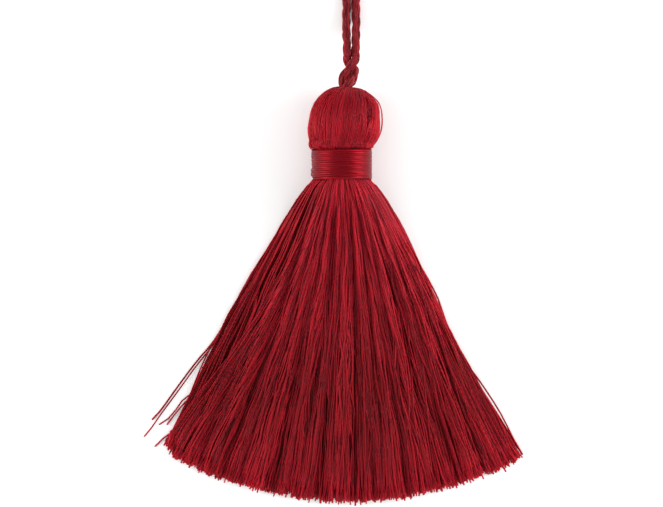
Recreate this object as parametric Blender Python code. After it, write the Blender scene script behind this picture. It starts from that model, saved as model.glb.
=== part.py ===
"""Silk tassel, lying on its back with its skirt fanned out.

A hank of silk floss is folded over a hanging cord, bound round its neck, and cut to one length at the hem.
Units are metres and +Z is up. The surface is z = 0, and +Y runs from the hem to the hanging loop.
The origin is on the surface, under the middle of the head, where the head has a small flat spot.
"""

import math

import bmesh
import bpy
from mathutils import Vector

MM = 0.001

# Neck and binding, both round the same axis, which runs along Y.
BINDING_TOP = -7.5 * MM
BINDING_WIDTH = 7.6 * MM
BINDING_RADIUS = 7.05 * MM
BINDING_RIDGE = 0.14 * MM
BINDING_RIDGES = 7
BINDING_WALL = 0.6 * MM
BINDING_SIDES = 40
NECK_X = -0.5 * MM
NECK_Z = 7.9 * MM
NECK_RADIUS = 6.1 * MM
NECK_TOP = BINDING_TOP + 0.2 * MM
NECK_BOTTOM = BINDING_TOP - BINDING_WIDTH - 0.2 * MM

# The head's cross-sections in millimetres: y along the axis, left and right of it, and the heights of top
# and bottom. Where the bottom is below the surface, the surface flattens it.
HEAD_SECTIONS = (
    # y, left, right, top, bottom
    (7.4, 1.7, 2.9, 10.2, 6.0),
    (7.1, 3.0, 3.7, 11.5, 4.6),
    (6.3, 4.6, 5.2, 13.0, 3.0),
    (5.1, 6.0, 6.7, 14.3, 1.7),
    (3.4, 7.3, 8.2, 15.6, 0.5),
    (1.4, 8.1, 8.9, 16.4, -0.3),
    (-1.2, 8.6, 9.1, 16.6, -0.4),
    (-3.4, 8.9, 8.8, 16.3, -0.3),
    (-5.3, 8.5, 8.2, 15.7, 0.2),
    (-6.6, 7.9, 7.3, 15.0, 0.9),
)
HEAD_RIPPLE = 0.12 * MM

# Skirt: threads of one length, fanned from the neck, so the hem is an arc about the neck's lower end.
SKIRT_START = BINDING_TOP - BINDING_WIDTH
SKIRT_LENGTH = 77.0 * MM
SKIRT_TOP_HALF_WIDTH = 7.2 * MM
SKIRT_SHOULDER = 1.5 * MM
SKIRT_SHOULDER_DEPTH = 4.0 * MM
SKIRT_FLARE = 0.535
SKIRT_SWAY = -2.5 * MM
HEM_LEAN = 0.075
HEM_RISE_LEFT = 0.138
HEM_RISE_RIGHT = 0.147
HEM_CORNER = 0.03
HEM_HEIGHT = 4.4 * MM
NECK_HEIGHT = 14.6 * MM
HEIGHT_FALL = 22.0 * MM
EDGE_HEIGHT = 1.3 * MM
SETTLE_DEPTH = 11.0 * MM
SPREAD_DEPTH = 15.0 * MM
SKIRT_ROWS = 13
FURROW = 0.75 * MM

# The skirt's main locks from left to right: how wide each is beside the others, how high its crest stands,
# and how far its tip reaches past the hem's arc, in millimetres.
LOCKS = (
    # share, crest, reach
    (0.8, 0.7, -0.6),
    (1.1, 1.0, 0.5),
    (0.9, 0.6, -0.4),
    (1.2, 1.1, 0.3),
    (0.9, 0.8, 0.7),
    (1.1, 1.2, 0.0),
    (1.0, 0.7, 0.9),
    (1.2, 1.1, 0.4),
    (0.9, 0.8, -0.2),
    (1.0, 1.2, 0.6),
    (1.1, 0.8, 0.1),
    (0.8, 1.0, 0.5),
    (1.1, 0.7, -0.5),
    (0.7, 0.9, 0.4),
)
SAMPLES_PER_LOCK = 4
NOTCH = 1.4 * MM

# Hanging cord: one loop that droops from the knot to the surface and closes round its crown.
CORD_DIAMETER = 1.9 * MM
CORD_POINTS = 66
CORD_ROUTE = (
    # x, y, z in millimetres, up the right strand, round the crown and down the left strand
    (2.78, 14.35, 5.70),
    (2.80, 15.90, 5.14),
    (2.84, 17.80, 4.36),
    (2.88, 20.00, 3.30),
    (2.90, 22.60, 2.12),
    (2.90, 25.40, 1.32),
    (2.90, 28.60, 1.02),
    (2.95, 32.50, 1.00),
    (3.15, 37.00, 1.00),
    (3.65, 41.80, 1.00),
    (4.55, 46.60, 1.00),
    (5.75, 51.40, 1.00),
    (6.85, 55.60, 1.00),
    (7.25, 59.20, 1.00),
    (6.55, 62.30, 1.00),
    (4.85, 64.40, 1.00),
    (2.55, 65.10, 1.00),
    (0.25, 64.30, 1.00),
    (-1.50, 62.10, 1.00),
    (-2.20, 58.90, 1.00),
    (-1.85, 55.20, 1.00),
    (-1.05, 51.00, 1.00),
    (-0.25, 46.40, 1.00),
    (0.30, 41.60, 1.00),
    (0.52, 37.00, 1.00),
    (0.60, 32.50, 1.00),
    (0.62, 28.60, 1.02),
    (0.60, 25.40, 1.32),
    (0.56, 22.60, 2.12),
    (0.52, 20.00, 3.30),
    (0.50, 17.80, 4.36),
    (0.50, 15.90, 5.14),
    (0.50, 14.35, 5.70),
)

# Knot: a lump with three turns round it, tilted down towards the surface.
KNOT_CENTRE = Vector((1.05, 10.80, 6.90)) * MM
KNOT_HALF = Vector((2.25, 3.05, 2.15)) * MM
KNOT_TILT = math.radians(-20)
KNOT_TURNS = 3
KNOT_RIDGE = 0.09
KNOT_LEAN = 1.6

CRIMSON = (0.33, 0.012, 0.025, 1.0)
DEEP_CRIMSON = (0.26, 0.010, 0.020, 1.0)
SILK_ROUGHNESS = 0.42


def clear_scene():
    for obj in list(bpy.data.objects):
        bpy.data.objects.remove(obj)


def new_collection(name):
    collection = bpy.data.collections.new(name)
    bpy.context.scene.collection.children.link(collection)
    return collection


def silk(name, colour):
    material = bpy.data.materials.new(name)
    material.use_nodes = True
    shader = material.node_tree.nodes["Principled BSDF"]
    shader.inputs["Base Color"].default_value = colour
    shader.inputs["Roughness"].default_value = SILK_ROUGHNESS
    shader.inputs["Metallic"].default_value = 0.0
    return material


def add_object(name, data, collection, material):
    obj = bpy.data.objects.new(name, data)
    obj.data.materials.append(material)
    collection.objects.link(obj)
    return obj


def smoothstep(value):
    t = min(max(value, 0.0), 1.0)
    return t * t * (3.0 - 2.0 * t)


def mix(a, b, t):
    return a + (b - a) * t


# The hank is a loft of rings. Each ring has the same columns from left to right, and each column has a
# point on top and a point underneath.
COLUMNS = len(LOCKS) * SAMPLES_PER_LOCK


def round_spacing():
    """Columns spaced as on a round section, from -1 at the left to 1 at the right."""
    return [-math.cos(math.pi * (i + 0.5) / COLUMNS) for i in range(COLUMNS)]


def lock_spacing():
    """For each column, its place across the skirt, its ripple, its lock's crest and its tip's reach."""
    whole = sum(share for share, _, _ in LOCKS)
    columns = []
    start = -1.0
    for share, crest, reach in LOCKS:
        width = 2.0 * share / whole
        for sample in range(SAMPLES_PER_LOCK):
            phase = (sample + 0.5) / SAMPLES_PER_LOCK
            ripple = -math.cos(2.0 * math.pi * phase)
            columns.append((start + width * phase, ripple, crest, reach * MM))
        start += width
    return columns


ROUND = round_spacing()
LOCKED = lock_spacing()


def head_ring(y, left, right, top, bottom):
    ring = []
    centre = (right - left) / 2.0
    half_width = (right + left) / 2.0
    middle = (top + bottom) / 2.0
    half_height = (top - bottom) / 2.0
    fullness = smoothstep(half_width * MM / BINDING_RADIUS - 0.2)
    for u, (_, ripple, crest, _) in zip(ROUND, LOCKED):
        side = math.sqrt(1.0 - u * u)
        swell = 1.0 + fullness * ripple * crest * HEAD_RIPPLE / (half_height * MM)
        upper = middle + half_height * side * swell
        lower = max(0.0, middle - half_height * side)
        x = centre + half_width * u
        ring.append((Vector((x, y, upper)) * MM, Vector((x, y, lower)) * MM))
    return ring


def neck_ring(y):
    ring = []
    for u in ROUND:
        x = NECK_X + NECK_RADIUS * u
        rise = NECK_RADIUS * math.sqrt(1.0 - u * u)
        ring.append((Vector((x, y, NECK_Z + rise)), Vector((x, y, NECK_Z - rise))))
    return ring


def skirt_half_width(depth):
    shoulder = SKIRT_SHOULDER * (1.0 - math.exp(-depth / SKIRT_SHOULDER_DEPTH))
    return SKIRT_TOP_HALF_WIDTH + shoulder + SKIRT_FLARE * depth


def hem_depth(across):
    """How far below the neck the hem is, at a place across the skirt: an arc that leans, with rounded corners."""
    off = across - HEM_LEAN
    rise = (HEM_RISE_LEFT if off < 0.0 else HEM_RISE_RIGHT) * abs(off) ** 1.75
    rise += HEM_CORNER * smoothstep((abs(across) - 0.88) / 0.12)
    return SKIRT_LENGTH * (1.0 - rise)


def skirt_ring(fraction):
    ring = []
    for u_round, (u_lock, ripple, crest, reach) in zip(ROUND, LOCKED):
        spread = smoothstep(fraction * SKIRT_LENGTH / SPREAD_DEPTH)
        u = mix(u_round, u_lock, spread)
        tip = (reach - NOTCH * (1.0 - ripple) / 2.0) * fraction**6
        depth = fraction * hem_depth(u) + tip
        sway = SKIRT_SWAY * math.sin(math.pi * fraction**1.5)
        x = mix(NECK_X, 0.0, fraction) + sway + u * skirt_half_width(depth)
        crown = HEM_HEIGHT + (NECK_HEIGHT - HEM_HEIGHT) * math.exp(-depth / HEIGHT_FALL)
        fan_top = EDGE_HEIGHT + (crown - EDGE_HEIGHT) * (1.0 - abs(u) ** 2.4)
        fan_top += FURROW * ripple * crest * smoothstep(fraction * 1.6) * (1.0 - u**8)
        rise = NECK_RADIUS * math.sqrt(1.0 - u * u)
        settle = smoothstep(depth / SETTLE_DEPTH)
        top = mix(NECK_Z + rise, fan_top, settle)
        bottom = mix(NECK_Z - rise, 0.0, settle)
        y = SKIRT_START - depth
        ring.append((Vector((x, y, top)), Vector((x, y, bottom))))
    return ring


def hank_rings():
    rings = [head_ring(*section) for section in HEAD_SECTIONS]
    rings += [neck_ring(NECK_TOP), neck_ring(mix(NECK_TOP, NECK_BOTTOM, 0.5)), neck_ring(NECK_BOTTOM)]
    rings += [skirt_ring((row / SKIRT_ROWS) ** 1.5) for row in range(1, SKIRT_ROWS + 1)]
    return rings


def make_hank(collection, material):
    mesh = bpy.data.meshes.new("hank")
    bm = bmesh.new()
    rings = []
    for ring in hank_rings():
        tops = [bm.verts.new(top) for top, _ in ring]
        bottoms = [bm.verts.new(bottom) for _, bottom in ring]
        rings.append(tops + bottoms[::-1])
    count = 2 * COLUMNS
    for ring, after in zip(rings, rings[1:]):
        for i in range(count):
            j = (i + 1) % count
            bm.faces.new((ring[i], ring[j], after[j], after[i]))
    for end in (rings[0], rings[-1]):
        for i in range(COLUMNS - 1):
            bm.faces.new((end[i], end[i + 1], end[count - 2 - i], end[count - 1 - i]))
    bmesh.ops.recalc_face_normals(bm, faces=bm.faces)
    bm.to_mesh(mesh)
    bm.free()
    mesh.shade_smooth()
    mesh.set_sharp_from_angle(angle=math.radians(50))
    return add_object("hank", mesh, collection, material)


def make_binding(collection, material):
    """A sleeve of wound turns: its closed profile is turned round the neck's axis."""
    pitch = BINDING_WIDTH / BINDING_RIDGES
    inner = BINDING_RADIUS - BINDING_WALL
    profile = [(inner, 0.0), (inner, -BINDING_WIDTH)]
    for turn in reversed(range(BINDING_RIDGES)):
        profile.append((BINDING_RADIUS - BINDING_RIDGE, -(turn + 0.92) * pitch))
        profile.append((BINDING_RADIUS + BINDING_RIDGE, -(turn + 0.64) * pitch))
        profile.append((BINDING_RADIUS + BINDING_RIDGE, -(turn + 0.36) * pitch))
        profile.append((BINDING_RADIUS - BINDING_RIDGE, -(turn + 0.08) * pitch))
    mesh = bpy.data.meshes.new("binding")
    bm = bmesh.new()
    loops = []
    for side in range(BINDING_SIDES):
        angle = 2.0 * math.pi * side / BINDING_SIDES
        ring = [bm.verts.new((r * math.cos(angle), y, r * math.sin(angle))) for r, y in profile]
        loops.append(ring)
    for side, ring in enumerate(loops):
        after = loops[(side + 1) % BINDING_SIDES]
        for i in range(len(profile)):
            j = (i + 1) % len(profile)
            bm.faces.new((ring[i], ring[j], after[j], after[i]))
    bmesh.ops.recalc_face_normals(bm, faces=bm.faces)
    bm.to_mesh(mesh)
    bm.free()
    mesh.shade_smooth()
    binding = add_object("binding", mesh, collection, material)
    binding.location = (NECK_X, BINDING_TOP, NECK_Z)
    return binding


def make_knot(collection, material):
    mesh = bpy.data.meshes.new("loop_knot")
    bm = bmesh.new()
    bmesh.ops.create_uvsphere(bm, u_segments=28, v_segments=16, radius=1.0)
    for vert in bm.verts:
        along = vert.co.z
        angle = math.atan2(vert.co.y, vert.co.x)
        girth = math.hypot(vert.co.x, vert.co.y)
        swell = 1.0 + KNOT_RIDGE * girth * math.cos(KNOT_TURNS * (angle + KNOT_LEAN * along))
        x = vert.co.x * swell * KNOT_HALF.x
        z = -vert.co.y * swell * KNOT_HALF.z
        vert.co = (x, along * KNOT_HALF.y, z)
    bmesh.ops.recalc_face_normals(bm, faces=bm.faces)
    bm.to_mesh(mesh)
    bm.free()
    mesh.shade_smooth()
    knot = add_object("loop_knot", mesh, collection, material)
    knot.location = KNOT_CENTRE
    knot.rotation_euler.x = KNOT_TILT
    return knot


def smooth_curve(points, steps):
    """A Catmull-Rom curve through the points, read at many steps in each span."""
    padded = [2.0 * points[0] - points[1], *points, 2.0 * points[-1] - points[-2]]
    curve = []
    for a, b, c, d in zip(padded, padded[1:], padded[2:], padded[3:]):
        for step in range(steps):
            t = step / steps
            bend = 2.0 * a - 5.0 * b + 4.0 * c - d
            turn = 3.0 * b - 3.0 * c + d - a
            curve.append(0.5 * (2.0 * b + (c - a) * t + bend * t**2 + turn * t**3))
    curve.append(points[-1])
    return curve


def evenly(curve, count):
    """The same curve read at evenly spaced points."""
    reached = [0.0]
    for a, b in zip(curve, curve[1:]):
        reached.append(reached[-1] + (b - a).length)
    points = []
    span = 0
    for i in range(count):
        target = reached[-1] * i / (count - 1)
        while span < len(curve) - 2 and reached[span + 1] < target:
            span += 1
        t = (target - reached[span]) / (reached[span + 1] - reached[span])
        points.append(curve[span].lerp(curve[span + 1], t))
    return points


def make_cord(collection, material):
    route = [Vector(point) * MM for point in CORD_ROUTE]
    points = evenly(smooth_curve(route, 12), CORD_POINTS)
    curve = bpy.data.curves.new("loop_cord", "CURVE")
    curve.dimensions = "3D"
    curve.bevel_depth = CORD_DIAMETER / 2.0
    curve.bevel_resolution = 2
    curve.use_fill_caps = True
    spline = curve.splines.new("POLY")
    spline.points.add(len(points) - 1)
    for place, point in zip(spline.points, points):
        place.co = (*point, 1.0)
    return add_object("loop_cord", curve, collection, material)


def main():
    clear_scene()
    tassel = new_collection("silk_tassel")
    floss = silk("silk_floss", CRIMSON)
    binding_thread = silk("binding_thread", DEEP_CRIMSON)
    cord_silk = silk("cord_silk", DEEP_CRIMSON)
    make_hank(tassel, floss)
    make_binding(tassel, binding_thread)
    make_knot(tassel, cord_silk)
    make_cord(tassel, cord_silk)


main()
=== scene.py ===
"""Silk tassel, lying on its back: every thread of its head, neck binding, skirt and hanging cord.

Units are metres. +Y runs from the hem to the loop, +Z is up, and the surface is z = 0. The skirt and the
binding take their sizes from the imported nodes' boxes, and the head follows the hank's mesh. The skirt's
outline is close to the CAD part's, but its hem was drawn again and is up to 1.3 mm from the solid's. The
cord's route is the part's to within 0.25 mm.
"""

import math

import bpy
import numpy as np
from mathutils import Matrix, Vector
from mathutils.bvhtree import BVHTree


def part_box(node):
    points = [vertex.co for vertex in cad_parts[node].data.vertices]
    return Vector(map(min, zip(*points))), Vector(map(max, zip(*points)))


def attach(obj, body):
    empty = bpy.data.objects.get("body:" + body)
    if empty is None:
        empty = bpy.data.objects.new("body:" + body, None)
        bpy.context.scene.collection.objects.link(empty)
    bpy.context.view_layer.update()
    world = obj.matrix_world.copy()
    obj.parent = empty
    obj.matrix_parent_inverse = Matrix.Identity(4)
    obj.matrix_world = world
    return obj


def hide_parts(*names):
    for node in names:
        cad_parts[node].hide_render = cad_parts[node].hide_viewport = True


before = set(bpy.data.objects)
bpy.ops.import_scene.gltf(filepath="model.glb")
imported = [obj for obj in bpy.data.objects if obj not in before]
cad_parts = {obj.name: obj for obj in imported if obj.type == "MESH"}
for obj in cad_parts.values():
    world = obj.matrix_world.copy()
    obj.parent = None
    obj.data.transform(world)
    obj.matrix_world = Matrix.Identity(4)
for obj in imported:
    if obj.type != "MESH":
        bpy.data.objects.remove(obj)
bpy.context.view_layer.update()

MM = 0.001

# Threads. In the UV map each of the styles is a row of its own, with its own shade.
THREAD_RADIUS = 0.17 * MM
SKIRT_THREAD_RADIUS = 0.195 * MM
THREAD_SIDES = 4
THREAD_FLATNESS = 0.6
STYLES = 16
# A thread's lowest point stays at least this far above the surface.
FLOOR_GAP = 0.02 * MM
# Threads start at different places over this share of the UV map's width, so patterns don't line up.
SLIDE = 0.06
# How many steps a smooth curve takes from one of its given points to the next.
CURVE_STEPS = 12

# Skirt: width and height by depth below the binding. Across runs from -1 at its left edge to 1 at its right.
SHOULDER = 1.9 * MM
SHOULDER_DEPTH = 4.0 * MM
FLARE = 0.525
SWAY = -2.2 * MM
RIGHT_FULLNESS = 0.35 * MM
DRIFT = 0.06
CORNER_FLARE = 1.1 * MM
HEM_LEAN = 0.075
HEM_RISE_LEFT = 0.141
HEM_RISE_RIGHT = 0.168
HEM_POWER = 1.75
HEM_CORNER_LEFT = 0.024
HEM_HEIGHT = 4.2 * MM
HEIGHT_FALL = 22.0 * MM
EDGE_HEIGHT = 1.2 * MM
SETTLE_DEPTH = 11.0 * MM
# How high the locks stand, and how far the top drops at the hem.
RELIEF_HEIGHT = 1.1 * MM
HEM_DROP = 1.3 * MM
TIP_REACH = 0.6 * MM
TUCK = 1.4 * MM

HANK_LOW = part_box("hank")[0]
BINDING_LOW, BINDING_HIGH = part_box("binding")
NECK = (BINDING_LOW + BINDING_HIGH) / 2
BINDING_RADIUS = (BINDING_HIGH.x - BINDING_LOW.x) / 2
NECK_RADIUS = BINDING_RADIUS - 1.0 * MM
SKIRT_TOP = BINDING_LOW.y
SKIRT_LENGTH = SKIRT_TOP - HANK_LOW.y - TIP_REACH
NECK_HEIGHT = BINDING_HIGH.z


def smoothstep(value):
    t = np.clip(value, 0.0, 1.0)
    return t * t * (3.0 - 2.0 * t)


def mix(a, b, t):
    return a + (b - a) * t


def wander(rng, count, t, slowest, fastest):
    """For each thread a smooth wavy line along t, of size about 1: three sines of chance pitch and phase."""
    total = np.zeros((count, t.shape[-1]))
    for _ in range(3):
        pitch = rng.uniform(slowest, fastest, (count, 1))
        phase = rng.uniform(0.0, 1.0, (count, 1))
        total += rng.uniform(0.4, 1.0, (count, 1)) * np.sin(2.0 * np.pi * (pitch * t + phase))
    return total / 1.7


# Tubes ---------------------------------------------------------------------------------------------------


def unit(vectors):
    return vectors / np.maximum(np.linalg.norm(vectors, axis=-1, keepdims=True), 1e-12)


def tube_parts(paths, radii, normals, sides):
    """Corner points of one tube for each path: threads x stations x sides x 3."""
    tangents = unit(np.gradient(paths, axis=1))
    across = unit(np.cross(tangents, normals))
    out = np.cross(across, tangents)
    angle = 2.0 * np.pi * np.arange(sides) / sides
    ring = across[:, :, None, :] * np.cos(angle)[:, None] + out[:, :, None, :] * np.sin(angle)[:, None]
    if np.ndim(radii) < 3:
        radii = np.broadcast_to(radii, paths.shape[:2])[:, :, None]
    return paths[:, :, None, :] + ring * radii[..., None]


def tube_mesh(name, batches):
    """One mesh of closed tubes from (corners, styles) batches. In the UV map a thread runs along u."""
    places = []
    faces = []
    uv = []
    smooth = []
    start = 0
    for corners, styles in batches:
        threads, stations, sides, _ = corners.shape
        index = start + np.arange(threads * stations * sides).reshape(threads, stations, sides)
        start += index.size
        nearer = index[:, :-1]
        farther = index[:, 1:]
        quads = np.stack([nearer, np.roll(nearer, -1, 2), np.roll(farther, -1, 2), farther], axis=-1)
        caps = np.concatenate([index[:, 0, ::-1], index[:, -1]])
        places.append(corners.reshape(-1, 3))
        faces += quads.reshape(-1, 4).tolist() + caps.tolist()

        late = np.mod(np.arange(threads) * 0.618, 1.0)[:, None]
        along = np.linspace(0.0, 1.0 - SLIDE, stations) + SLIDE * late
        u = np.stack([along[:, :-1], along[:, :-1], along[:, 1:], along[:, 1:]], axis=-1)
        u = np.broadcast_to(u[:, :, None, :], (threads, stations - 1, sides, 4))
        edge = np.arange(sides) / sides
        v = np.stack([edge, edge + 1 / sides, edge + 1 / sides, edge], axis=-1)
        v = (styles[:, None, None, None] + 0.03 + 0.94 * v[None, None]) / STYLES
        v = np.broadcast_to(v, u.shape)
        cap_u = np.concatenate([np.repeat(along[:, 0], sides), np.repeat(along[:, -1], sides)])
        cap_v = np.tile(np.repeat((styles + 0.5) / STYLES, sides), 2)
        uv += [np.stack([u.ravel(), v.ravel()], -1), np.stack([cap_u, cap_v], -1)]
        smooth += [np.ones(quads.size // 4, bool), np.zeros(len(caps), bool)]
    mesh = bpy.data.meshes.new(name)
    mesh.from_pydata(np.concatenate(places), [], faces)
    layer = mesh.uv_layers.new(name="OFBake")
    layer.data.foreach_set("uv", np.concatenate(uv).astype(np.float32).ravel())
    mesh.polygons.foreach_set("use_smooth", np.concatenate(smooth))
    mesh.update()
    return mesh


def rows_of(shade):
    """The style row for each shade from 0, the darkest, to 1."""
    return np.clip(np.round(shade * (STYLES - 1)), 0, STYLES - 1).astype(int)


def flattened(radii, sides, share):
    """Radii for each side of a thread that is this share as thick as it is wide."""
    angle = 2.0 * np.pi * np.arange(sides) / sides
    return radii[..., None] / np.hypot(np.cos(angle), np.sin(angle) / share)


def add_piece(name, mesh, material, replaced=()):
    piece = bpy.data.objects.new(name, mesh)
    bpy.context.scene.collection.objects.link(piece)
    mesh.materials.append(material)
    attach(piece, "root")
    if replaced:
        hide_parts(*replaced)
    return piece


# Silk ----------------------------------------------------------------------------------------------------

# The thread is two strands twisted together, and a strand crosses its top once in this length.
STRAND_PITCH = 0.95 * MM
# Where along a thread the painted shade on the skirt is darkest, and over what share of it.
PAINTED_SHADE_PLACE = 0.76
PAINTED_SHADE_SPREAD = 0.19


def silk_material(name, dark, bright, length, pitch, grain, roughness, metallic, painted_light_and_shade=0.0):
    """Silk of threads this long. Each style row has its own shade, and strands turn round the thread."""
    material = bpy.data.materials.new(name)
    material.use_nodes = True
    nodes = material.node_tree.nodes
    links = material.node_tree.links
    shader = nodes["Principled BSDF"]

    def math_node(operation, *values):
        node = nodes.new("ShaderNodeMath")
        node.operation = operation
        for socket, value in zip(node.inputs, values):
            if isinstance(value, bpy.types.NodeSocket):
                links.new(value, socket)
            else:
                socket.default_value = value
        return node.outputs[0]

    def noise(across, along, detail):
        place = nodes.new("ShaderNodeCombineXYZ")
        links.new(across, place.inputs[0])
        links.new(along, place.inputs[1])
        texture = nodes.new("ShaderNodeTexNoise")
        texture.inputs["Scale"].default_value = 1.0
        texture.inputs["Detail"].default_value = detail
        links.new(place.outputs[0], texture.inputs["Vector"])
        return texture.outputs["Fac"]

    uv = nodes.new("ShaderNodeUVMap")
    uv.uv_map = "OFBake"
    parts = nodes.new("ShaderNodeSeparateXYZ")
    links.new(uv.outputs[0], parts.inputs[0])
    along = math_node("MULTIPLY", parts.outputs[0], length / MM)
    rows = math_node("MULTIPLY", parts.outputs[1], float(STYLES))
    row = math_node("FLOOR", rows)
    around = math_node("SUBTRACT", rows, row)

    # Each thread's own shade, slow changes along it, its strands' twist and its filaments.
    shade = math_node("MULTIPLY", row, 1.0 / (STYLES - 1))
    apart = math_node("MULTIPLY", row, 7.3)
    slow = noise(apart, math_node("MULTIPLY", along, 0.11), 2.0)
    turned = math_node("MULTIPLY_ADD", along, 0.5 * MM / pitch, around)
    strands = math_node("ABSOLUTE", math_node("SINE", math_node("MULTIPLY", turned, 2.0 * math.pi)))
    fibres = noise(math_node("MULTIPLY_ADD", turned, 9.0, apart), math_node("MULTIPLY", along, 1.1), 3.0)

    tone = math_node("ADD", shade, math_node("MULTIPLY_ADD", slow, 0.5, -0.25))
    tone = math_node("ADD", tone, math_node("MULTIPLY_ADD", strands, grain, -0.6 * grain))
    tone = math_node("ADD", tone, math_node("MULTIPLY_ADD", fibres, 0.5, -0.25))
    if painted_light_and_shade:
        # Painted light just below the binding and at the threads' cut ends, and painted shade three quarters
        # of the way down, where they part most.
        painted_light_top = math_node("EXPONENT", math_node("MULTIPLY", parts.outputs[0], -4.0))
        painted_light_ends = math_node("POWER", parts.outputs[0], 18.0)
        from_dark = math_node("SUBTRACT", parts.outputs[0], PAINTED_SHADE_PLACE)
        from_dark = math_node("MULTIPLY", from_dark, 1.0 / PAINTED_SHADE_SPREAD)
        squared = math_node("MULTIPLY", from_dark, from_dark)
        parted = math_node("EXPONENT", math_node("MULTIPLY", squared, -1.0))
        tone = math_node("ADD", tone, math_node("MULTIPLY", painted_light_top, 1.2 * painted_light_and_shade))
        tone = math_node("ADD", tone, math_node("MULTIPLY", painted_light_ends, 1.6 * painted_light_and_shade))
        tone = math_node("ADD", tone, math_node("MULTIPLY", parted, -0.56 * painted_light_and_shade))
    colour = nodes.new("ShaderNodeMix")
    colour.data_type = "RGBA"
    colour.clamp_factor = False
    links.new(tone, colour.inputs["Factor"])
    colour.inputs["A"].default_value = dark
    colour.inputs["B"].default_value = bright
    links.new(colour.outputs["Result"], shader.inputs["Base Color"])

    rough = math_node("MULTIPLY_ADD", fibres, 0.2, roughness - 0.1)
    links.new(rough, shader.inputs["Roughness"])
    relief = nodes.new("ShaderNodeBump")
    relief.inputs["Strength"].default_value = 0.6
    relief.inputs["Distance"].default_value = 0.05 * MM
    links.new(math_node("MULTIPLY_ADD", fibres, 0.5, strands), relief.inputs["Height"])
    links.new(relief.outputs[0], shader.inputs["Normal"])
    shader.inputs["Metallic"].default_value = metallic
    shader.inputs["IOR"].default_value = 1.5
    shader.inputs["Specular IOR Level"].default_value = 0.1
    shader.inputs["Sheen Weight"].default_value = 0.03
    shader.inputs["Subsurface Weight"].default_value = 0.9
    shader.inputs["Subsurface Radius"].default_value = (1.0, 0.15, 0.15)
    shader.inputs["Subsurface Scale"].default_value = 0.8 * MM
    shader.inputs["Sheen Roughness"].default_value = 0.4
    shader.inputs["Sheen Tint"].default_value = (1.0, 0.45, 0.5, 1.0)
    return material


# Camera and light ----------------------------------------------------------------------------------------

# The camera looks straight down on the tassel as it lies.
VIEW_CENTRE = Vector((-3.0, -32.6, 4.0)) * MM
VIEW_WIDTH = 159.4 * MM
CAMERA_DISTANCE = 0.70


def make_camera():
    data = bpy.data.cameras.new("camera")
    data.sensor_width = 36.0
    data.lens = data.sensor_width * CAMERA_DISTANCE / VIEW_WIDTH
    data.clip_start = 0.01
    camera = bpy.data.objects.new("camera", data)
    camera.location = VIEW_CENTRE + Vector((0, 0, CAMERA_DISTANCE))
    bpy.context.scene.collection.objects.link(camera)
    bpy.context.scene.camera = camera


def area_light(name, place, size, power):
    data = bpy.data.lights.new(name, "AREA")
    data.shape = "SQUARE"
    data.size = size
    data.energy = power
    light = bpy.data.objects.new(name, data)
    light.location = place
    target = Vector((0.0, VIEW_CENTRE.y, 0.0))
    light.rotation_euler = (target - light.location).to_track_quat("-Z", "Y").to_euler()
    bpy.context.scene.collection.objects.link(light)


def make_studio():
    area_light("softbox_left", Vector((-0.60, -0.03, 0.27)), 0.42, 4.3)
    area_light("softbox_right", Vector((0.60, -0.03, 0.27)), 0.42, 5.0)
    world = bpy.data.worlds.new("world")
    world.use_nodes = True
    world.node_tree.nodes["Background"].inputs["Color"].default_value = (1.0, 1.0, 1.0, 1.0)
    world.node_tree.nodes["Background"].inputs["Strength"].default_value = 0.75
    bpy.context.scene.world = world
    bpy.context.scene.view_settings.view_transform = "Standard"


def make_floor():
    mesh = bpy.data.meshes.new("floor")
    half = 3.0
    corners = [(-half, -half, 0), (half, -half, 0), (half, half, 0), (-half, half, 0)]
    mesh.from_pydata(corners, [], [(0, 1, 2, 3)])
    floor = bpy.data.objects.new("floor", mesh)
    bpy.context.scene.collection.objects.link(floor)
    material = bpy.data.materials.new("floor_paper")
    material.use_nodes = True
    nodes = material.node_tree.nodes
    shader = nodes["Principled BSDF"]
    grain = nodes.new("ShaderNodeTexNoise")
    grain.inputs["Scale"].default_value = 900.0
    ramp = nodes.new("ShaderNodeMapRange")
    ramp.inputs["To Min"].default_value = 0.93
    ramp.inputs["To Max"].default_value = 0.95
    links = material.node_tree.links
    links.new(grain.outputs["Fac"], ramp.inputs["Value"])
    links.new(ramp.outputs[0], shader.inputs["Base Color"])
    shader.inputs["Roughness"].default_value = 0.9
    shader.inputs["Specular IOR Level"].default_value = 0.1
    mesh.materials.append(material)


# Skirt ---------------------------------------------------------------------------------------------------


def skirt_half_width(depth):
    shoulder = SHOULDER * (1.0 - np.exp(-np.maximum(depth, 0.0) / SHOULDER_DEPTH))
    fan = BINDING_RADIUS + shoulder + FLARE * depth
    return mix(NECK_RADIUS, fan, smoothstep((depth + 0.6 * MM) / (1.4 * MM)))


def swept(across, fraction, share):
    """Across for threads that fan out unevenly: on the left they start nearer the middle."""
    left = smoothstep(-across / 0.25) * mix(0.28, 0.52, smoothstep((-across - 0.45) / 0.4))
    right = 0.10 * smoothstep(across / 0.3) * (1.0 - smoothstep(fraction / 0.4))
    rest = np.clip(1.0 - fraction, 0.0, 1.0) ** 1.5
    return across * (1.0 - share * (left * rest + right))


def hem_depth(across):
    """The hem is an arc, since every thread is as long, and its left corner is rounded."""
    off = across - HEM_LEAN
    rise = np.where(off < 0.0, HEM_RISE_LEFT, HEM_RISE_RIGHT) * np.abs(off) ** HEM_POWER
    rise = rise + HEM_CORNER_LEFT * smoothstep((-across - 0.88) / 0.12)
    return SKIRT_LENGTH * (1.0 - rise)


def relief(across, fraction):
    """Broad locks and furrows across the skirt, growing towards the hem."""
    waves = (
        # pitch across, drift along, phase, share
        (5.3, 0.3, 0.10, 0.24),
        (9.1, -0.3, 0.45, 0.38),
        (14.7, 0.5, 0.80, 0.42),
        (23.3, -0.5, 0.25, 0.22),
        (37.9, 0.9, 0.60, 0.14),
    )
    total = 0.0
    for pitch, drift, phase, share in waves:
        total = total + share * np.sin(2.0 * np.pi * (pitch * across / 2.0 + drift * fraction + phase))
    return total


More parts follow.
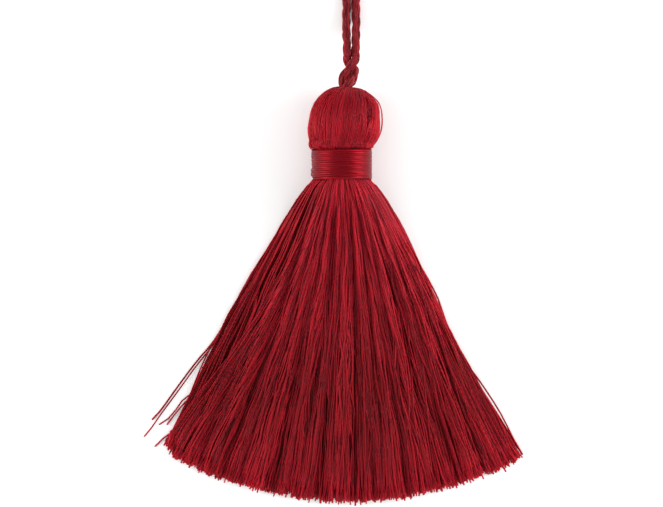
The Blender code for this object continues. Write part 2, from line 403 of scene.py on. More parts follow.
def skirt_place(across, up, fraction):
    """A place in the skirt: across and up run from -1 to 1, and fraction from the binding to the hem."""
    clipped = np.clip(across, -1.0, 1.0)
    depth = fraction * hem_depth(across)
    sway = SWAY * np.sin(np.pi * np.clip(fraction, 0.0, 1.0) ** 1.5) * np.abs(clipped) ** 5
    leaning = across + DRIFT * (0.5 - fraction) * (1.0 - clipped**2) * smoothstep(fraction / 0.1)
    corner = CORNER_FLARE * smoothstep((fraction - 0.78) / 0.22) * smoothstep((-across - 0.72) / 0.28)
    fuller = RIGHT_FULLNESS * smoothstep((across - 0.5) / 0.5) * smoothstep(fraction / 0.2)
    x = mix(NECK.x, 0.0, fraction) + sway - corner + fuller + leaning * skirt_half_width(depth)
    crown = HEM_HEIGHT + (NECK_HEIGHT - HEM_HEIGHT) * np.exp(-np.maximum(depth, 0.0) / HEIGHT_FALL)
    top = EDGE_HEIGHT + (crown - EDGE_HEIGHT) * (1.0 - np.abs(clipped) ** 2.4)
    growth = mix(0.6, 1.0, fraction) * smoothstep(fraction * 7.0)
    top = top + RELIEF_HEIGHT * relief(across, fraction) * growth * (1.0 - clipped**6)
    top = top - HEM_DROP * smoothstep((fraction - 0.86) / 0.16) * (1.0 - clipped**6)
    rise = (NECK_RADIUS - THREAD_RADIUS) * np.sqrt(1.0 - clipped**2)
    fan = THREAD_RADIUS + (top - 2.0 * THREAD_RADIUS) * (up + 1.0) / 2.0
    z = mix(NECK.z + rise * up, fan, smoothstep(depth / SETTLE_DEPTH))
    return np.stack([x, SKIRT_TOP - depth, z], axis=-1)


SKIRT_STATIONS = 28
UPPER_LOCKS = 64
LOWER_LOCKS = 84
STRAND_THREADS = 3
EDGE_BUNCHES = 16
# Painted shade in the furrows and painted light on the ridges: how much darker the one is than the other.
PAINTED_FURROW_SHADE = 0.44
# How far loose threads keep in from the left edge, as a share of their distance past 0.78.
EDGE_AIR = 0.65
# Distances up the skirt's thickness count this much beside distances across it.
UP_SCALE = 0.22


def stations(ends):
    """Each thread's fractions, from under the binding to its own end, closer together near the binding."""
    steps = (np.arange(SKIRT_STATIONS) / (SKIRT_STATIONS - 1)) ** 1.25
    start = -TUCK / SKIRT_LENGTH
    return start + (ends[:, None] - start) * steps


def disc_points(rng, count):
    """Places across and up, even over a round neck."""
    angle = rng.uniform(0.0, 2.0 * np.pi, count)
    radius = np.sqrt(rng.uniform(0.0, 1.0, count))
    across = radius * np.cos(angle)
    up = radius * np.sin(angle) / np.sqrt(1.0 - across**2)
    return across, np.clip(up, -1.0, 1.0)


def spread_centres(rng, places, count):
    """Picks well-spaced places as lock centres, each the farthest of a few chance ones."""
    chosen = [0]
    for _ in range(count - 1):
        trial = rng.integers(0, len(places), 14)
        gaps = np.linalg.norm(places[trial][:, None] - places[chosen][None], axis=-1).min(axis=1)
        chosen.append(int(trial[gaps.argmax()]))
    return places[chosen]


def nearest(places, centres):
    return np.linalg.norm(places[:, None] - centres[None], axis=-1).argmin(axis=1)


def loose_skirt(rng, count, sweep):
    """Threads in small strands, gathered in one set of locks high in the skirt and in another below."""
    across, up = disc_points(rng, count)
    places = np.stack([across, up * UP_SCALE], axis=-1)
    strands = spread_centres(rng, places, count // STRAND_THREADS)
    strand = nearest(places, strands)
    upper = spread_centres(rng, strands, UPPER_LOCKS)
    lower = spread_centres(rng, strands, LOWER_LOCKS)
    high = nearest(strands, upper)[strand]
    low = nearest(strands, lower)[strand]
    ends = 1.0 + rng.normal(0.0, 0.006, count) + rng.normal(0.0, 0.004, LOWER_LOCKS)[low]
    t = stations(ends)
    line = np.linspace(0.0, 1.0, SKIRT_STATIONS)[None]

    change = (rng.uniform(0.22, 0.66, len(strands))[strand] + rng.normal(0.0, 0.03, count))[:, None]
    regroup = smoothstep((t - change) / 0.26)
    high_grip = rng.uniform(0.4, 0.85, UPPER_LOCKS)[high][:, None] * smoothstep(t / 0.28)
    low_grip = rng.uniform(0.4, 0.9, LOWER_LOCKS)[low][:, None] * (1.0 - 0.6 * smoothstep((t - 0.84) / 0.16))
    pull = mix(high_grip, low_grip, regroup)
    target = mix(upper[high][:, None], lower[low][:, None], regroup[..., None])
    inward = 1.0 - 0.5 * np.abs(across[:, None]) ** 6
    bind = 0.6 * smoothstep(t / 0.2)
    own = mix(places[:, None], strands[strand][:, None], bind[..., None])
    off = strands[strand][:, None, 0] - target[..., 0]
    u = own[..., 0] - off * pull * inward
    w = own[..., 1] / UP_SCALE * (1.0 - 0.3 * pull) + target[..., 1] / UP_SCALE * 0.3 * pull
    w = w + 0.4 * (1.0 - w) * smoothstep(t / 0.4)
    w = w - 2.0 * np.abs(off) * smoothstep(t / 0.3)

    growth = smoothstep(t / 0.45)
    drift = mix(
        wander(rng, UPPER_LOCKS, line, 0.3, 2.0)[high],
        wander(rng, LOWER_LOCKS, line, 0.3, 2.0)[low],
        regroup,
    )
    place = swept(u, t, sweep)
    # On the left the threads keep a little way in from the edge until near the hem.
    kept_in = EDGE_AIR * smoothstep((t - 0.3) / 0.2) * (1.0 - smoothstep((t - 0.84) / 0.1))
    place = place + kept_in * np.clip(-place - 0.78, 0.0, 1.0)
    paths = skirt_place(place, w, t)
    paths[..., 0] += drift * 0.65 * MM * growth
    paths[..., 0] += wander(rng, len(strands), line, 1.5, 6.5)[strand] * 0.36 * MM * growth
    paths[..., 2] += wander(rng, len(strands), line, 1.5, 6.5)[strand] * 0.18 * MM * growth
    # Shade by lock, by strand and by thread, with a few bright threads, and painted shade in the furrows. The
    # right side is painted lighter and both edges a little lighter, as painted light.
    shade = 0.22 + 0.36 * rng.uniform(0.0, 1.0, LOWER_LOCKS)[low]
    shade = shade + PAINTED_FURROW_SHADE * relief(swept(across, 0.6, sweep), 0.6)
    shade = shade + 0.12 * rng.uniform(0.0, 1.0, len(strands))[strand]
    # Painted light: lighter towards the right side and a little lighter at both edges.
    shade = shade + 0.22 * across + 0.34 * across**2 - 0.03
    shade = shade + 0.06 * rng.uniform(0.0, 1.0, count) + 0.35 * rng.uniform(0.0, 1.0, count) ** 8
    return crinkled(rng, paths, t, 0.7), t, shade


def crinkled(rng, paths, t, share):
    """The paths with each thread's own waves, long and short."""
    count = len(paths)
    line = np.linspace(0.0, 1.0, SKIRT_STATIONS)[None]
    growth = smoothstep(t / 0.35)
    paths[..., 0] += wander(rng, count, line, 2.0, 7.0) * 0.17 * MM * share * growth
    paths[..., 0] += wander(rng, count, line, 7.0, 15.0) * 0.05 * MM * share
    paths[..., 2] += wander(rng, count, line, 2.0, 7.0) * 0.09 * MM * share * growth
    tip = smoothstep((t - 0.92) / 0.09) ** 2
    paths[..., 0] += rng.normal(0.0, 0.35 * MM, (count, 1)) * tip
    paths[..., 2] += rng.normal(0.0, 0.3 * MM, (count, 1)) * tip
    return paths


def base_skirt(rng, count, height, left, right):
    """A flat, even sheet of threads low in the skirt, painted a little darker, as shade under the threads
    above, and lighter to the right, as painted light.
    """
    across = np.linspace(-left, right, count) + rng.normal(0.0, 0.4 / count, count)
    t = stations(0.99 + rng.normal(0.0, 0.006, count))
    u = np.broadcast_to(across[:, None], t.shape)
    paths = skirt_place(u, np.full_like(t, height), t)
    # Painted shade under the upper threads, and painted light towards the right.
    return crinkled(rng, paths, t, 1.0), t, rng.uniform(0.28, 0.48, count) + 0.15 * across


def edge_skirt(rng, count, side, outer, reach):
    """Bunches of threads along one edge, from outer inwards by reach, a little apart lower down."""
    bunch = np.arange(count) % EDGE_BUNCHES
    places = (np.arange(EDGE_BUNCHES) + rng.uniform(0.0, 1.0, EDGE_BUNCHES)) / EDGE_BUNCHES
    bunches = outer - reach * places**1.2
    across = side * (bunches[bunch] + rng.normal(0.0, 0.004 + 0.05 * reach**2, count))
    t = stations(1.0 + rng.normal(0.0, 0.007, count))
    line = np.linspace(0.0, 1.0, SKIRT_STATIONS)[None]
    airy = 0.010 - 0.004 * side
    u = across[:, None] + airy * wander(rng, EDGE_BUNCHES, line, 0.6, 2.2)[bunch] * smoothstep(t / 0.5)
    u = u + 0.004 * wander(rng, count, line, 0.6, 2.2) * smoothstep(t / 0.5)
    w = np.broadcast_to(rng.uniform(-1.0, 1.0, (count, 1)), t.shape)
    # Painted light: the right edge's threads are painted lighter.
    return crinkled(rng, skirt_place(u, w, t), t, 1.2), t, rng.uniform(0.4, 0.8, count) + 0.12 * side


def wisp_skirt(rng, count, size):
    """Small groups of threads that lie on top and cross the locks at a slight angle."""
    groups = count // size
    group = np.arange(count) % groups
    start = rng.uniform(-0.95, 0.95, groups)[group]
    lean = (rng.normal(0.0, 0.075, groups)[group] + rng.normal(0.0, 0.012, count)) * (1.0 - 0.6 * start**2)
    across = start + rng.normal(0.0, 0.010, count)
    t = stations(1.0 + rng.normal(0.0, 0.006, count))
    line = np.linspace(0.0, 1.0, SKIRT_STATIONS)[None]
    begin = rng.uniform(0.05, 0.55, groups)[group][:, None]
    u = across[:, None] + lean[:, None] * smoothstep((t - begin) / 0.45)
    w = 1.0 + 0.07 * wander(rng, count, line, 0.6, 2.4)
    paths = skirt_place(swept(u, t, 1.0), w, t)
    paths[..., 0] += wander(rng, groups, line, 0.8, 2.5)[group] * 0.7 * MM * smoothstep(t / 0.5)
    # Painted highlight: these top threads are painted lighter than those under them.
    return crinkled(rng, paths, t, 1.4), t, rng.uniform(0.45, 1.0, count)


# Threads that leave the skirt: where each starts on the edge, then its way out, in millimetres.
STRAYS = (
    # across, fraction, ((x, y), ...)
    (-0.97, 0.36, ((-26.9, -46.2), (-31.5, -53.8), (-35.6, -58.7), (-40.4, -65.1), (-44.2, -70.4),
     (-46.4, -72.8))),
    (-0.96, 0.40, ((-31.7, -54.6), (-35.8, -59.9), (-39.9, -65.6), (-44.2, -71.4),
     (-46.2, -74.3), (-48.3, -76.9))),
    (-0.95, 0.52, ((-37.0, -66.3), (-39.2, -68.3), (-41.8, -71.9), (-44.7, -74.0))),
    (-0.94, 0.52, ((-36.8, -66.4), (-39.7, -70.0), (-41.6, -72.4), (-42.8, -74.0))),
    (-0.93, 0.60, ((-40.4, -74.0), (-42.8, -76.4), (-45.7, -79.3))),
    (0.93, 0.00, ((11.2, -21.5), (13.5, -25.0), (15.8, -29.6), (17.9, -34.3))),
)
STRAY_HEIGHT = 0.7 * MM
# Inside the skirt a stray has this many stations, at this height from -1 to 1.
STRAY_STATIONS = 6
STRAY_UP = 0.2


def stray_threads():
    paths = []
    for across, fraction, way in STRAYS:
        t = np.linspace(-TUCK / SKIRT_LENGTH, fraction, STRAY_STATIONS)
        start = skirt_place(np.full(STRAY_STATIONS, across), np.full(STRAY_STATIONS, STRAY_UP), t)
        outside = np.array([(x, y, 0.0) for x, y in way]) * MM
        fall = np.linspace(1.0, 0.0, len(way))
        outside[:, 2] = mix(THREAD_RADIUS, STRAY_HEIGHT, fall)
        curve = catmull_rom(np.vstack([start, outside]), CURVE_STEPS)
        reached = np.concatenate([[0.0], np.cumsum(np.linalg.norm(np.diff(curve, axis=0), axis=1))])
        wanted = np.linspace(0.0, reached[-1], SKIRT_STATIONS)
        paths.append(np.stack([np.interp(wanted, reached, curve[:, k]) for k in range(3)], axis=-1))
    paths = np.array(paths)
    t = np.broadcast_to(np.linspace(0.0, 1.0, SKIRT_STATIONS), paths.shape[:2])
    return paths, t, np.linspace(0.4, 0.7, len(paths))


def skirt_piece(name, seed, rows, material, replaced=()):
    """One mesh of the skirt from several rows of (paths, fractions, shades)."""
    rng = np.random.default_rng(seed)
    paths = np.concatenate([row[0] for row in rows])
    t = np.concatenate([row[1] for row in rows])
    shade = np.concatenate([row[2] for row in rows])
    radii = SKIRT_THREAD_RADIUS * rng.uniform(0.80, 1.15, (len(paths), 1))
    radii = radii * mix(0.85, 1.0, smoothstep(t / 0.3))
    paths[..., 2] = np.maximum(paths[..., 2], radii + FLOOR_GAP)
    normals = np.broadcast_to([0.0, 0.0, 1.0], paths.shape)
    corners = tube_parts(paths, flattened(radii, THREAD_SIDES, THREAD_FLATNESS), normals, THREAD_SIDES)
    mesh = tube_mesh(name, [(corners, rows_of(shade))])
    return add_piece(name, mesh, material, replaced)


BASE_SHEETS = (
    # threads, height, left end, right end
    (270, -0.93, 0.84, 0.95),
    (260, -0.4, 0.82, 0.86),
    (240, 0.25, 0.80, 0.80),
)
EDGE_ROWS = (
    # threads, side, outermost place, reach inwards
    (20, -1.0, 0.985, 0.13),
    (150, -1.0, 0.92, 0.55),
    (64, 1.0, 0.975, 0.17),
)


def make_skirt(material):
    rng = np.random.default_rng(11)
    base = [base_skirt(rng, *sheet) for sheet in BASE_SHEETS]
    skirt_piece("skirt_under", 1, base, material, ("hank",))
    edges = [edge_skirt(rng, *row) for row in EDGE_ROWS]
    skirt_piece("skirt_body", 2, [loose_skirt(rng, 600, 0.4), *edges], material)
    skirt_piece("skirt_locks", 4, [loose_skirt(rng, 800, 1.0)], material)
    wisps = [wisp_skirt(rng, 240, 3), wisp_skirt(rng, 260, 1)]
    skirt_piece("skirt_face", 3, [*wisps, stray_threads()], material)


# Head ----------------------------------------------------------------------------------------------------

HEAD_CENTRE = Vector((0.1, -0.6, 8.1)) * MM
# The threads spread from under the knot, a little to the right of the head's middle.
HEAD_POLE = Vector((1.15, 7.8, 0.0)).normalized()
# Closer together where the head turns in above the binding.
HEAD_STEPS = (*range(9, 117, 6), 120, 124, 127, 129, 131, 133, 135, 137, 139, 142, 146, 150)
HEAD_STATIONS = len(HEAD_STEPS)
HEAD_ALPHA = np.radians(HEAD_STEPS)
TABLE_ALPHA = 44
# The table goes a little past the last station.
TABLE_END = HEAD_ALPHA[-1] + 0.05
TABLE_THETA = 72


def head_directions(alpha, theta):
    """Directions from the head's centre, by angle from the pole and round it: 0 is right, 90 is up."""
    pole = np.array(HEAD_POLE)
    side = np.array([HEAD_POLE.y, -HEAD_POLE.x, 0.0])
    above = np.array([0.0, 0.0, 1.0])
    girth = np.sin(alpha)[..., None]
    outward = np.cos(theta)[..., None] * side + np.sin(theta)[..., None] * above
    return pole * np.cos(alpha)[..., None] + outward * girth


def head_table():
    """The hank's distance from the head's centre, for angles from the pole and round it."""
    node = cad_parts["hank"]
    points = [vertex.co.copy() for vertex in node.data.vertices]
    tree = BVHTree.FromPolygons(points, [tuple(face.vertices) for face in node.data.polygons])
    alpha = np.linspace(0.0, TABLE_END, TABLE_ALPHA)[:, None]
    theta = 2.0 * np.pi * np.arange(TABLE_THETA)[None] / TABLE_THETA
    rays = head_directions(*np.broadcast_arrays(alpha, theta))
    table = np.array([[tree.ray_cast(HEAD_CENTRE, Vector(ray))[3] for ray in row] for row in rays])
    for _ in range(2):
        table = (np.roll(table, 1, 1) + 2.0 * table + np.roll(table, -1, 1)) / 4.0
    return table


def head_radius(table, alpha, theta):
    row = np.clip(alpha / TABLE_END, 0.0, 1.0) * (TABLE_ALPHA - 1.001)
    column = np.mod(theta / (2.0 * np.pi), 1.0) * TABLE_THETA
    i = row.astype(int)
    j = column.astype(int) % TABLE_THETA
    j_next = (j + 1) % TABLE_THETA
    low = mix(table[i, j], table[i, j_next], column - np.floor(column))
    high = mix(table[i + 1, j], table[i + 1, j_next], column - np.floor(column))
    return mix(low, high, row - i)


# Waves that neighbouring threads share: waves round the head, ripples down it, phase.
HEAD_WAVES = (
    (9, 2.3, 0.4),
    (14, -3.1, 2.1),
    (23, 4.6, 4.0),
    (31, -5.2, 1.2),
)

# A parting on the right of the head, where the threads have slid apart.
PARTING_THETA = math.radians(48.0)
PARTING_ALPHA = math.radians(72.0)
PARTING_LENGTH = math.radians(17.0)
PARTING_WIDTH = 0.16
# The layer this deep stays whole, and is painted dark, as painted shade, where it shows in the parting.
PARTING_DEPTH = 0.34 * MM
# Lower on the right, the outermost threads have sunk and leave a few standing off.
SUNK_ALPHA = math.radians(80.0)
SUNK_LENGTH = math.radians(16.0)


def head_threads(rng, table, count, sink):
    theta = 2.0 * np.pi * (np.arange(count) + rng.uniform(-0.45, 0.45, count)) / count
    rank = rng.permutation(count) / count
    line = np.linspace(0.0, 1.0, HEAD_STATIONS)[None]
    alpha = np.broadcast_to(HEAD_ALPHA, (count, HEAD_STATIONS))
    off = (np.mod(theta - PARTING_THETA + np.pi, 2.0 * np.pi) - np.pi)[:, None]
    inside = np.exp(-(((alpha - PARTING_ALPHA) / PARTING_LENGTH) ** 2))
    turn = theta[:, None] + wander(rng, count, line, 0.6, 2.4) * 0.012
    turn = turn + wander(rng, count, line, 3.0, 8.0) * 0.006
    for waves, ripples, phase in HEAD_WAVES:
        turn = turn + 0.010 * np.sin(waves * theta[:, None] + ripples * alpha + phase + sink / MM)
    parted = 0.16 * (1.0 - sink / PARTING_DEPTH)
    turn = turn + inside * np.sign(off) * parted * np.exp(-np.abs(off) / PARTING_WIDTH)
    radius = head_radius(table, alpha, turn)
    room = 2.0 * np.pi * radius * np.sin(alpha) / (1.55 * THREAD_RADIUS) / count
    crowded = smoothstep((rank[:, None] - room) / 0.3)
    hollow = inside * np.exp(-((off / PARTING_WIDTH) ** 2))
    radius = radius - THREAD_RADIUS - sink - 0.3 * MM * crowded - 0.5 * MM * hollow
    radius = radius - 0.9 * MM * (1.0 - smoothstep((alpha - HEAD_ALPHA[0]) / math.radians(9.0)))
    right = np.exp(-((np.sin(turn / 2.0) / 0.3) ** 2) - ((alpha - SUNK_ALPHA) / SUNK_LENGTH) ** 2)
    radius = radius - 0.42 * MM * right
    radius = radius + wander(rng, count, line, 0.8, 3.0) * 0.04 * MM
    directions = head_directions(alpha, turn)
    paths = np.array(HEAD_CENTRE) + directions * radius[..., None]

    # Down to the binding the threads stay wide, and they turn in sharply under its first turn.
    off_axis = paths - np.array([NECK.x, 0.0, NECK.z])
    girth = np.hypot(off_axis[..., 0], off_axis[..., 2])
    reach = BINDING_HIGH.y - paths[..., 1]
    least = BINDING_RADIUS + 0.3 * MM - sink - 1.3 * MM * smoothstep((reach + 0.3 * MM) / (0.6 * MM))
    least = np.where(paths[..., 1] < HEAD_CENTRE.y - 4.0 * MM, least, 0.0)
    grow = np.maximum(girth, least) / girth
    paths[..., 0] = NECK.x + off_axis[..., 0] * grow
    paths[..., 2] = NECK.z + off_axis[..., 2] * grow
    shade = 0.55 + 0.36 * wander(rng, 1, theta[None] / 2.0, 1.0, 5.0)[0] + rng.uniform(-0.1, 0.1, count)
    # Painted shade: the deepest layer darkens where it shows in the parting.
    painted_parting_shade = np.exp(-((off[:, 0] / PARTING_WIDTH) ** 2)) * sink / PARTING_DEPTH
    return paths, directions, shade * (1.0 - painted_parting_shade)


# Single threads of the head that stand clear of it, in millimetres.
LOOSE_HEAD_THREADS = (
    ((5.0, 6.3, 8.6), (6.9, 4.9, 8.5), (8.25, 3.5, 8.4), (9.0, 1.4, 8.3), (9.15, -1.2, 8.2), (8.8, -3.6, 8.1),
     (7.8, -5.8, 8.0), (6.6, -7.3, 8.0), (5.9, -9.0, 8.0)),
    ((4.8, 6.4, 8.0), (6.8, 5.0, 7.9), (8.2, 3.5, 7.7), (8.95, 1.4, 7.6), (9.2, -1.0, 7.5), (8.9, -3.4, 7.4),
     (7.8, -5.7, 7.6), (6.6, -7.3, 7.7), (5.9, -9.0, 7.8)),
    ((5.1, 6.2, 9.3), (7.0, 4.7, 9.4), (8.2, 3.3, 9.4), (8.85, 1.5, 9.3), (9.0, -1.2, 9.2), (8.7, -3.6, 8.9),
     (7.7, -5.9, 8.6), (6.6, -7.3, 8.4), (5.9, -9.0, 8.3)),
    ((-8.3, -3.6, 9.0), (-8.3, -4.9, 9.2), (-8.25, -6.0, 9.3), (-8.2, -6.9, 9.3), (-7.9, -7.6, 9.2),
     (-7.3, -7.9, 9.0), (-6.2, -8.2, 8.8)),
    ((-8.1, -4.2, 9.9), (-8.15, -5.3, 10.0), (-8.1, -6.3, 10.0), (-8.0, -7.0, 9.9), (-7.6, -7.6, 9.7),
     (-6.9, -7.9, 9.5), (-6.0, -8.3, 9.2)),
    ((-8.2, -4.6, 8.2), (-8.3, -5.6, 8.3), (-8.4, -6.5, 8.5), (-8.25, -7.2, 8.6), (-7.8, -7.7, 8.6),
     (-7.0, -8.0, 8.5), (-6.1, -8.4, 8.4)),
)


HEAD_LAYERS = (
    # threads, depth below the hank's surface
    (250, 0.0),
    (230, 0.16 * MM),
    (210, PARTING_DEPTH),
)


def make_head(material):
    rng = np.random.default_rng(23)
    table = head_table()
    layers = [head_threads(rng, table, count, sink) for count, sink in HEAD_LAYERS]
    paths = np.concatenate([layer[0] for layer in layers])
    normals = np.concatenate([layer[1] for layer in layers])
    shade = np.concatenate([layer[2] for layer in layers])
    loose = []
    for way in LOOSE_HEAD_THREADS:
        curve = catmull_rom(np.array(way) * MM, CURVE_STEPS)
        loose.append(curve[np.linspace(0, len(curve) - 1, HEAD_STATIONS).astype(int)])
    loose = np.array(loose)
    paths = np.concatenate([paths, loose])
    normals = np.concatenate([normals, unit(loose - np.array(HEAD_CENTRE))])
    shade = np.concatenate([shade, np.full(len(loose), 0.5)])
    radii = THREAD_RADIUS * rng.uniform(0.82, 1.05, (len(paths), 1)) * np.ones((1, HEAD_STATIONS))
    paths[..., 2] = np.maximum(paths[..., 2], radii + FLOOR_GAP)
    corners = tube_parts(paths, flattened(radii, THREAD_SIDES, THREAD_FLATNESS), normals, THREAD_SIDES)
    mesh = tube_mesh("head", [(corners, rows_of(shade))])
    add_piece("head", mesh, material)


# Binding -------------------------------------------------------------------------------------------------

TURNS = 14
TURN_STATIONS = 60
TURN_HALF_WIDTH = 0.43 * MM
TURN_FLATNESS = 0.12
TURN_SIDES = 10
TURN_START = math.radians(200.0)
# The inner layer of turns lies this deep. Style rows of the outer and the inner layer; the inner row is
# darker, painted shade where it shows between the outer turns.
INNER_DEPTH = 0.30 * MM
TURN_STYLES = (8, 3)


def binding_path(rng, inset):
    count = TURNS * TURN_STATIONS
    turn = np.arange(count) / TURN_STATIONS
    angle = 2.0 * np.pi * turn + TURN_START
    line = np.linspace(0.0, 1.0, count)[None]
    ends = smoothstep(turn / 0.25) * smoothstep((TURNS - turn) / 0.25)
    radius = BINDING_RADIUS - TURN_FLATNESS * TURN_HALF_WIDTH - inset - 0.5 * MM * (1.0 - ends)
    radius = radius + wander(rng, 1, line, 9.0, 26.0)[0] * 0.022 * MM
    left = np.exp(-((np.mod(angle, 2.0 * np.pi) - math.pi) ** 2) / 0.05)
    bulge = np.clip(wander(rng, 1, line, 4.0, 9.0)[0], 0.0, 1.0)
    radius = radius + left * bulge * 0.28 * MM
    pitch = (BINDING_HIGH.y - BINDING_LOW.y - 2.0 * TURN_HALF_WIDTH) / TURNS
    y = BINDING_HIGH.y - TURN_HALF_WIDTH - pitch * turn
    y = y + wander(rng, 1, line, 10.0, 40.0)[0] * 0.07 * MM
    directions = np.stack([np.cos(angle), np.zeros(count), np.sin(angle)], axis=-1)
    centre = np.stack([np.full(count, NECK.x), y, np.full(count, NECK.z)], axis=-1)
    return centre + directions * radius[:, None], directions


def make_binding(material):
    rng = np.random.default_rng(5)
    layers = [binding_path(rng, 0.0), binding_path(rng, INNER_DEPTH)]
    paths = np.stack([layer[0] for layer in layers])
    normals = np.stack([layer[1] for layer in layers])
    radii = flattened(np.full(paths.shape[:2], TURN_HALF_WIDTH), TURN_SIDES, TURN_FLATNESS)
    corners = tube_parts(paths, radii, normals, TURN_SIDES)
    mesh = tube_mesh("neck_binding", [(corners, np.array(TURN_STYLES))])
    add_piece("neck_binding", mesh, material, ("binding",))


# Cord and its knot ---------------------------------------------------------------------------------------

CORD_REST = 1.12 * MM
CORD_ROUTE = (
    # x, y, z in millimetres, up the right strand, round the crown and down the left strand
    (2.75, 14.35, 5.70),
    (2.76, 15.90, 5.14),
    (2.80, 17.80, 4.36),
    (2.87, 20.00, 3.30),
    (2.92, 22.60, 2.12),
    (2.90, 25.40, 1.32),
    (2.90, 28.60, 1.02),
    (2.95, 32.50, 1.00),
    (3.15, 37.00, 1.00),
    (3.65, 41.80, 1.00),
    (4.55, 46.60, 1.00),
    (5.75, 51.40, 1.00),
    (6.85, 55.60, 1.00),
    (7.25, 59.20, 1.00),
    (6.55, 62.30, 1.00),
    (4.85, 64.40, 1.00),
    (2.55, 65.10, 1.00),
    (0.25, 64.30, 1.00),
    (-1.50, 62.10, 1.00),
    (-2.20, 58.90, 1.00),
    (-1.85, 55.20, 1.00),
    (-1.05, 51.00, 1.00),
    (-0.25, 46.40, 1.00),
    (0.30, 41.60, 1.00),
    (0.52, 37.00, 1.00),
    (0.60, 32.50, 1.00),
    (0.62, 28.60, 1.02),
    (0.60, 25.40, 1.32),
    (0.56, 22.60, 2.12),
    (0.60, 20.00, 3.30),
    (0.66, 17.80, 4.36),
    (0.72, 15.90, 5.14),
    (0.75, 14.35, 5.70),
)
PLIES = 3
PLY_PITCH = 9.4 * MM
PLY_OFFSET = 0.38 * MM
YARNS = 10
YARN_PITCH = 6.4 * MM
YARN_OFFSET = 0.50 * MM
YARN_RADIUS = 0.21 * MM
YARN_SIDES = 5
CORE_RADIUS = 0.48 * MM
CORE_SIDES = 8
CORD_STEP = 0.45 * MM

# Knot: the two strands twist round each other on the way down into the head.
KNOT_SPINE = (
    # x, y, z in millimetres from the cord down, turn in degrees, half the strands' spacing in mm, swelling
    (1.75, 14.35, 5.70, 0.0, 1.00, 1.00),
    (1.77, 12.86, 6.20, 62.0, 1.00, 1.00),
    (1.90, 11.42, 6.65, 138.0, 0.95, 1.08),
    (0.95, 9.50, 7.20, 182.0, 1.06, 1.16),
    (0.74, 8.08, 7.65, 228.0, 1.14, 1.22),
    (0.90, 6.60, 8.00, 285.0, 1.10, 1.20),
    (1.00, 5.20, 8.20, 335.0, 0.85, 0.95),
)


def catmull_rom(points, steps):
    """A smooth curve through the points, of any dimension."""
    points = np.asarray(points, float)
    padded = np.vstack([2.0 * points[0] - points[1], points, 2.0 * points[-1] - points[-2]])
    t = (np.arange(steps) / steps)[:, None]
    spans = []
    for a, b, c, d in zip(padded, padded[1:], padded[2:], padded[3:]):
        bend = 2.0 * a - 5.0 * b + 4.0 * c - d
        turn = 3.0 * b - 3.0 * c + d - a
        spans.append(0.5 * (2.0 * b + (c - a) * t + bend * t**2 + turn * t**3))
    return np.vstack([*spans, points[-1:]])


def evenly(curve, step):
    """The curve's rows, with any further columns, at even steps along its first three."""
    reached = np.concatenate([[0.0], np.cumsum(np.linalg.norm(np.diff(curve[:, :3], axis=0), axis=1))])
    wanted = np.linspace(0.0, reached[-1], int(round(reached[-1] / step)) + 1)
    return np.stack([np.interp(wanted, reached, column) for column in curve.T], axis=-1)


def knot_strand(side):
    """One strand from the cord down into the head, and its swelling. side is 1 for the right strand."""
    spine = catmull_rom(KNOT_SPINE, CURVE_STEPS)
    angle = np.radians(spine[:, 3])
    offset = np.stack([np.cos(angle), 0.2 * np.sin(angle), np.sin(angle)], axis=-1)
    centre = (spine[:, :3] + side * offset * spine[:, 4:5]) * MM
    return np.hstack([centre, spine[:, 5:6]])


def transported(path):
    """A normal along the path that never twists about it."""
    tangents = unit(np.gradient(path, axis=0))
    normal = np.array([0.0, 0.0, 1.0])
    normals = []
    for tangent in tangents:
        normal = normal - tangent * normal.dot(tangent)
        normal = normal / np.linalg.norm(normal)
        normals.append(normal)
    return tangents, np.array(normals)


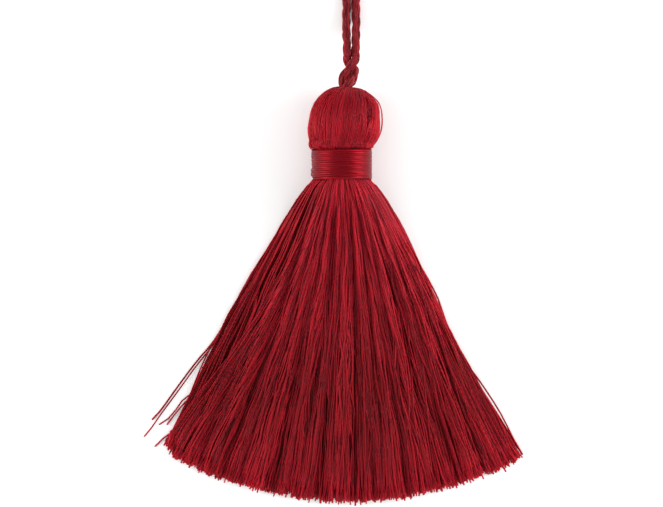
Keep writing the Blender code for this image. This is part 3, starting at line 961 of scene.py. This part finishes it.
def make_cord(material):
    rng = np.random.default_rng(41)
    route = catmull_rom(np.array(CORD_ROUTE) * MM, CURVE_STEPS)
    route[:, 2] = np.maximum(route[:, 2], CORD_REST)
    route = np.hstack([route, np.ones((len(route), 1))])
    right = knot_strand(1)[::-1]
    left = knot_strand(-1)
    whole = evenly(np.vstack([right[:-1], route, left[1:]]), CORD_STEP)
    swelling = whole[:, 3:4]
    whole = whole[:, :3]
    half = len(whole) // 2
    first = int(np.argmin(np.linalg.norm(whole[:half] - route[0, :3], axis=1)))
    last = half + int(np.argmin(np.linalg.norm(whole[half:] - route[-1, :3], axis=1)))
    tangents, normals = transported(whole)
    sideways = np.cross(tangents, normals)
    arc = np.arange(len(whole)) * CORD_STEP
    line = arc[None] / arc[-1]

    yarns = []
    yarn_normals = []
    cores = []
    core_normals = []
    for ply in range(PLIES):
        angle = -2.0 * np.pi * (arc / PLY_PITCH + ply / PLIES)
        angle = angle + 0.35 * wander(rng, 1, line, 3.0, 14.0)[0]
        out = normals * np.cos(angle)[:, None] + sideways * np.sin(angle)[:, None]
        across = np.cross(tangents, out)
        centre = whole + out * PLY_OFFSET * swelling
        cores.append(centre)
        core_normals.append(out)
        for yarn in range(YARNS):
            turn = 2.0 * np.pi * (arc / YARN_PITCH + yarn / YARNS)
            turn = turn + 0.25 * wander(rng, 1, line, 6.0, 30.0)[0]
            normal = out * np.cos(turn)[:, None] + across * np.sin(turn)[:, None]
            place = YARN_OFFSET + 0.03 * MM * wander(rng, 1, line, 10.0, 45.0)[0]
            yarns.append(centre + normal * place[:, None] * swelling)
            yarn_normals.append(normal)
    yarn_radii = YARN_RADIUS * rng.uniform(0.85, 1.15, (len(yarns), 1)) * swelling[:, 0]
    yarn_corners = tube_parts(np.array(yarns), yarn_radii, np.array(yarn_normals), YARN_SIDES)
    core_radii = CORE_RADIUS * np.ones((PLIES, 1)) * swelling[:, 0]
    core_corners = tube_parts(np.array(cores), core_radii, np.array(core_normals), CORE_SIDES)
    yarn_rows = rows_of(rng.uniform(0.05, 0.85, len(yarns)))
    # The cores are painted dark, as shade where they show between the yarns.
    core_rows = rows_of(np.full(PLIES, 0.2))

    def part(start, stop):
        return [(yarn_corners[:, start:stop], yarn_rows), (core_corners[:, start:stop], core_rows)]

    cord_mesh = tube_mesh("hanging_cord", part(first, last + 1))
    cord_piece = add_piece("hanging_cord", cord_mesh, material, ("loop_cord",))
    knot_mesh = tube_mesh("cord_knot", part(0, first + 1) + part(last, len(whole)))
    knot_piece = add_piece("cord_knot", knot_mesh, material, ("loop_knot",))


make_camera()
make_studio()
make_floor()
# dark and bright are a thread's darkest and brightest colour, length is its own and pitch its twist's.
floss = silk_material(
    "skirt_silk",
    dark=(0.066, 0.0002, 0.0010, 1.0),
    bright=(0.268, 0.0045, 0.011, 1.0),
    length=SKIRT_LENGTH,
    pitch=STRAND_PITCH,
    grain=0.10,
    roughness=0.40,
    metallic=0.25,
    painted_light_and_shade=0.5,
)
# The head is the same silk as the skirt: its colours are painted lighter, as painted light on the open dome,
# and the skirt's darker, as painted shade among the locks.
crown = silk_material(
    "head_silk",
    dark=(0.19, 0.0018, 0.006, 1.0),
    bright=(0.39, 0.005, 0.014, 1.0),
    length=22.0 * MM,
    pitch=STRAND_PITCH,
    grain=0.15,
    roughness=0.42,
    metallic=0.25,
)
wound = silk_material(
    "binding_silk",
    dark=(0.105, 0.0013, 0.004, 1.0),
    bright=(0.31, 0.0036, 0.010, 1.0),
    length=590.0 * MM,
    pitch=9.0 * MM,
    grain=0.08,
    roughness=0.40,
    metallic=0.6,
)
laid = silk_material(
    "cord_silk",
    dark=(0.08, 0.003, 0.005, 1.0),
    bright=(0.30, 0.018, 0.025, 1.0),
    length=120.0 * MM,
    pitch=2.0 * MM,
    grain=0.2,
    roughness=0.5,
    metallic=0.1,
)
make_cord(laid)
make_skirt(floss)
make_head(crown)
make_binding(wound)
